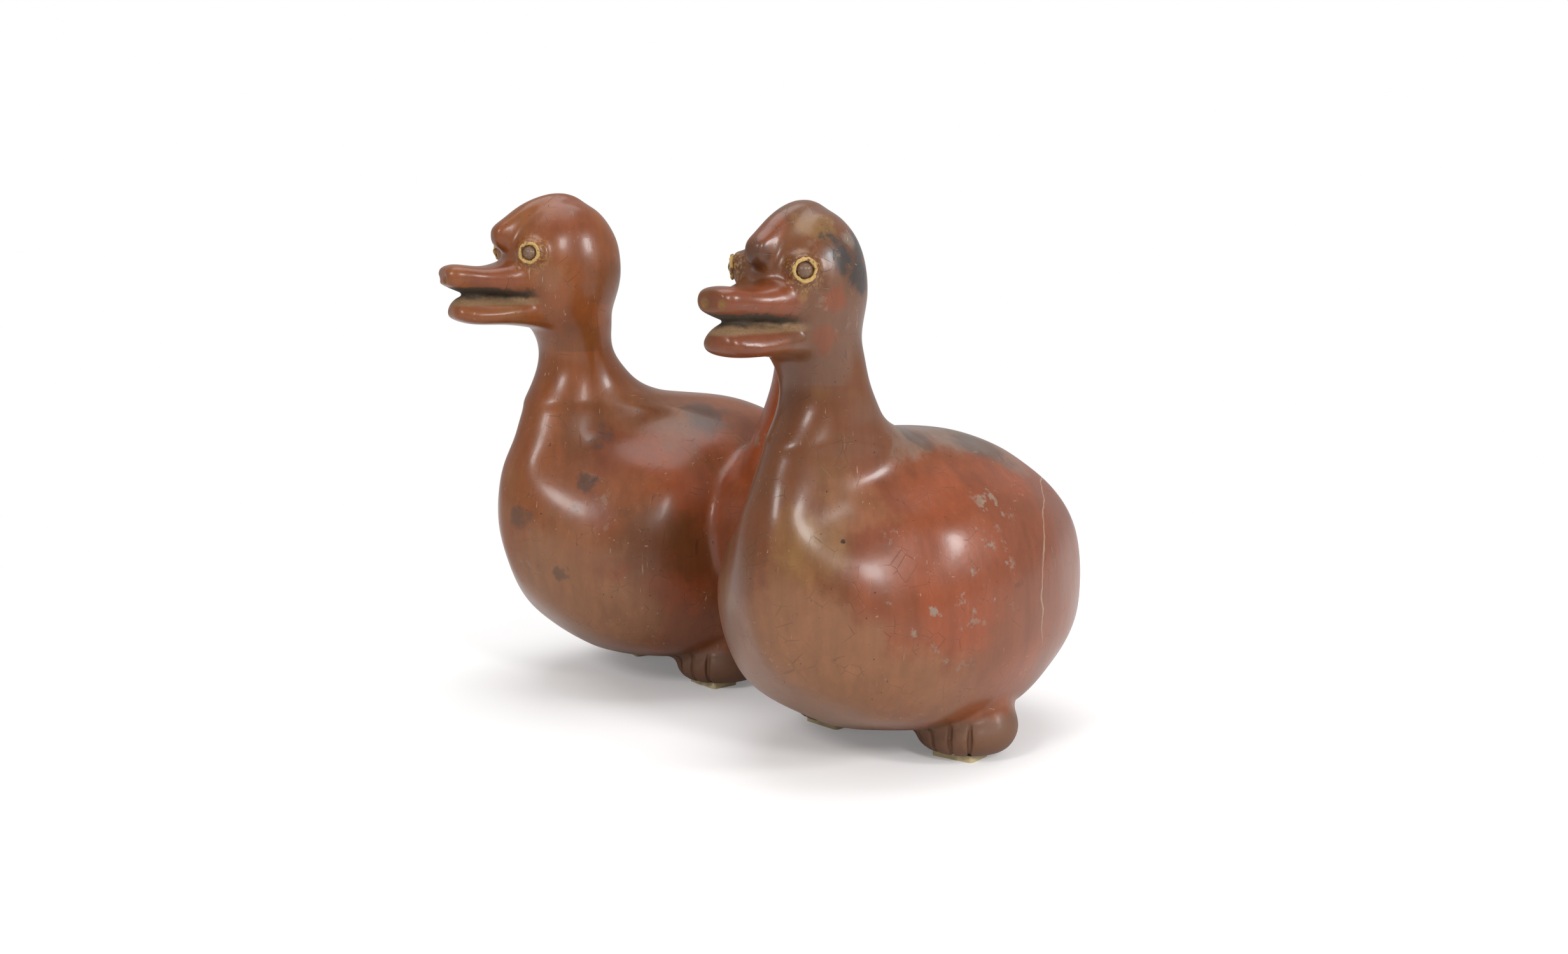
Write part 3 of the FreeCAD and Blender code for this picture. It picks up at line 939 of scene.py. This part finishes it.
near_head_tones = [
    (dull_slip, [((0.092, -0.045, 0.160), 0.024, 0.85), ((0.088, -0.050, 0.140), 0.016, 0.6),
                 ((0.076, -0.045, 0.190), 0.020, 0.6)], 0.008),
    (red_slip, [((0.0895, -0.083, 0.169), 0.016, 1.0), ((0.090, -0.071, 0.167), 0.012, 0.9),
                ((0.088, -0.090, 0.154), 0.012, 0.8), ((0.093, -0.050, 0.1665), 0.008, 0.9),
                ((0.086, -0.068, 0.172), 0.008, 0.6), ((0.082, -0.068, 0.192), 0.008, 0.7),
                ((0.087, -0.076, 0.154), 0.010, 0.7), ((0.090, -0.052, 0.155), 0.006, 0.7)], 0.006),
    (ochre, [((0.0845, -0.050, 0.1905), 0.009, 0.6), ((0.089, -0.060, 0.170), 0.004, 0.5)], 0.005),
    (smoke, [((0.0911, -0.0505, 0.1825), 0.0065, 0.9), ((0.0905, -0.044, 0.181), 0.010, 1.0),
             ((0.0915, -0.038, 0.1755), 0.009, 0.9), ((0.086, -0.034, 0.184), 0.010, 0.9),
             ((0.081, -0.073, 0.182), 0.005, 0.4)], 0.007),
    (ash, [((0.0885, -0.039, 0.187), 0.006, 0.7)], 0.004),
]
near_head_worn = [((0.088, -0.046, 0.186), 0.014, 0.5), ((0.091, -0.047, 0.165), 0.014, 0.4)]

# Tones of the far duck, which is the right one
far_body_tones = [
    (bright_slip, [((-0.033, -0.024, 0.097), 0.022, 0.7), ((-0.021, -0.018, 0.082), 0.018, 0.6),
                   ((-0.032, -0.003, 0.102), 0.016, 0.7), ((-0.019, -0.030, 0.045), 0.016, 0.6)], 0.010),
    (brown_slip, [((-0.026, -0.040, 0.066), 0.020, 0.7), ((-0.019, -0.026, 0.062), 0.016, 0.6),
                  ((-0.060, -0.046, 0.108), 0.014, 0.5)], 0.010),
    (tan_slip, [((-0.046, -0.062, 0.058), 0.026, 0.6), ((-0.055, -0.060, 0.040), 0.030, 0.8),
                ((-0.038, -0.048, 0.034), 0.028, 0.9), ((-0.063, -0.068, 0.052), 0.022, 0.6),
                ((-0.047, -0.012, 0.112), 0.020, 0.5), ((-0.055, -0.030, 0.114), 0.014, 0.4)], 0.010),
    (smoke, [((-0.041, 0.002, 0.109), 0.013, 0.6), ((-0.046, -0.052, 0.0885), 0.005, 0.6),
             ((-0.068, -0.072, 0.074), 0.006, 0.5), ((-0.049, -0.057, 0.079), 0.004, 0.6),
             ((-0.052, -0.062, 0.052), 0.004, 0.5), ((-0.052, -0.041, 0.105), 0.006, 0.5)], 0.006),
]
far_body_worn = [((-0.040, -0.050, 0.080), 0.016, 0.4), ((-0.066, -0.070, 0.060), 0.014, 0.4)]
far_head_tones = [
    (red_slip, [((-0.060, -0.050, 0.190), 0.016, 0.7), ((-0.070, -0.045, 0.198), 0.014, 0.6),
                ((-0.066, -0.082, 0.168), 0.014, 0.7)], 0.008),
    (tan_slip, [((-0.057, -0.060, 0.168), 0.009, 0.6), ((-0.060, -0.065, 0.176), 0.007, 0.5)], 0.006),
    (brown_slip, [((-0.056, -0.034, 0.165), 0.014, 0.6), ((-0.060, -0.046, 0.140), 0.016, 0.5)], 0.008),
]
far_head_worn = [((-0.062, -0.050, 0.192), 0.012, 0.4)]
spout_tones = [
    (bright_slip, [((-0.010, 0.000, 0.110), 0.030, 0.8)], 0.010),
    (ash, [((-0.008, 0.003, 0.103), 0.007, 0.6), ((-0.010, 0.004, 0.126), 0.006, 0.5),
           ((0.010, 0.040, 0.110), 0.012, 0.5)], 0.008),
    (smoke, [((0.0, 0.035, 0.165), 0.014, 0.6)], 0.010),
]

dress(bodies["left"], body_material("left", brown_slip, near_body_tones, near_body_worn))
dress(heads["left"], head_material("left", brown_slip, near_head_tones, near_head_worn))
dress(bodies["right"], body_material("right", orange_slip, far_body_tones, far_body_worn))
dress(heads["right"], head_material("right", orange_slip, far_head_tones, far_head_worn))
dress(bodies["middle"], burnished(*clay("spout_slip", "middle", tones=spout_tones)))
pellet_finish = pellet_material()
crust_finish = deposit_material()
felt_finish = felt_material()
for side in DUCKS:
    for end in FLANKS:
        dress(make_pupil(side, end), pellet_finish)
        dress(make_deposit(side, end), crust_finish)
        dress(make_pad(f"{side}_{end}_pad"), felt_finish)


def make_floor():
    """Pale floor and backdrop in one."""
    deselect()
    bpy.ops.mesh.primitive_plane_add(size=floor_size, location=(0, 0, 0))
    floor = bpy.context.object
    floor.name = "floor"
    finish = Finish("floor")
    diffuse = finish.node("ShaderNodeBsdfDiffuse", sockets={"Color": floor_white})
    away = Number(finish, finish.vector("LENGTH", finish.place, (0, 0, 0), "Value"))
    seen = Number(finish, finish.node("ShaderNodeLightPath", output="Is Camera Ray"))
    backdrop = finish.node("ShaderNodeEmission", sockets={"Color": (1, 1, 1, 1), "Strength": 1.0})
    lift = finish.node("ShaderNodeEmission", sockets={"Color": (1, 1, 1, 1), "Strength": floor_lift})
    dark = finish.node("ShaderNodeEmission", sockets={"Strength": 0.0})
    glow = finish.node("ShaderNodeMixShader", sockets={0: seen, 1: dark, 2: lift})
    lifted = finish.node("ShaderNodeAddShader", sockets={0: diffuse, 1: glow})
    fade = finish.between(away, floor_fade[0], floor_fade[1]) * seen
    finish.node_output(finish.node("ShaderNodeMixShader", sockets={0: fade, 1: lifted, 2: backdrop}))
    dress(floor, finish.material)


def make_world():
    """White room: a plain level of light, and pure white where the camera sees it."""
    world = bpy.data.worlds.new("studio")
    bpy.context.scene.world = world
    world.use_nodes = True
    tree = world.node_tree
    tree.nodes.clear()
    path = tree.nodes.new("ShaderNodeLightPath")
    room = tree.nodes.new("ShaderNodeBackground")
    room.inputs["Color"].default_value = (1, 1, 1, 1)
    room.inputs["Strength"].default_value = room_light
    backdrop = tree.nodes.new("ShaderNodeBackground")
    backdrop.inputs["Color"].default_value = (1, 1, 1, 1)
    backdrop.inputs["Strength"].default_value = 1.0
    choose = tree.nodes.new("ShaderNodeMixShader")
    out = tree.nodes.new("ShaderNodeOutputWorld")
    tree.links.new(path.outputs["Is Camera Ray"], choose.inputs[0])
    tree.links.new(room.outputs[0], choose.inputs[1])
    tree.links.new(backdrop.outputs[0], choose.inputs[2])
    tree.links.new(choose.outputs[0], out.inputs["Surface"])


def add_softbox(name, direction, distance, size, power):
    """Square lamp that looks at the middle of the vessel."""
    lamp = bpy.data.lights.new(name, "AREA")
    lamp.shape = "SQUARE"
    lamp.size = size
    lamp.energy = power
    holder = bpy.data.objects.new(name, lamp)
    bpy.context.collection.objects.link(holder)
    away = Vector(direction).normalized()
    holder.location = Vector((0, 0, lamp_aim_height)) + away * distance
    holder.rotation_euler = away.to_track_quat("Z", "Y").to_euler()


# Studio
room_light = 0.55
floor_white = (0.82, 0.82, 0.82, 1)
floor_size = 8.0
floor_lift = 0.16
floor_fade = (0.24, 0.48)
lamp_away = 1.6
lamp_size = 0.30
lamp_aim_height = 0.1
make_floor()
make_world()
add_softbox("side_softbox", (0.80, 0.45, 0.36), lamp_away, lamp_size, 9.0)
add_softbox("front_softbox", (0.86, -0.22, 0.45), lamp_away, lamp_size, 8.0)
add_softbox("left_softbox", (0.25, -0.82, 0.52), lamp_away, lamp_size, 7.0)
add_softbox("top_softbox", (-0.1, 0.1, 1.0), 1.5, 1.2, 12.0)

# Camera
camera_data = bpy.data.cameras.new("camera")
camera = bpy.data.objects.new("camera", camera_data)
bpy.context.collection.objects.link(camera)
camera.location = (camera_distance * sin(camera_turn), camera_middle_y - camera_distance * cos(camera_turn),
                   camera_height)
camera.rotation_euler = (pi / 2 - camera_pitch, 0, camera_turn + camera_aim)
camera_data.sensor_width = sensor_width
camera_data.lens = focal_pixels / image_width * sensor_width
camera_data.clip_start = 0.01
bpy.context.scene.camera = camera
bpy.context.scene.view_settings.view_transform = "Standard"
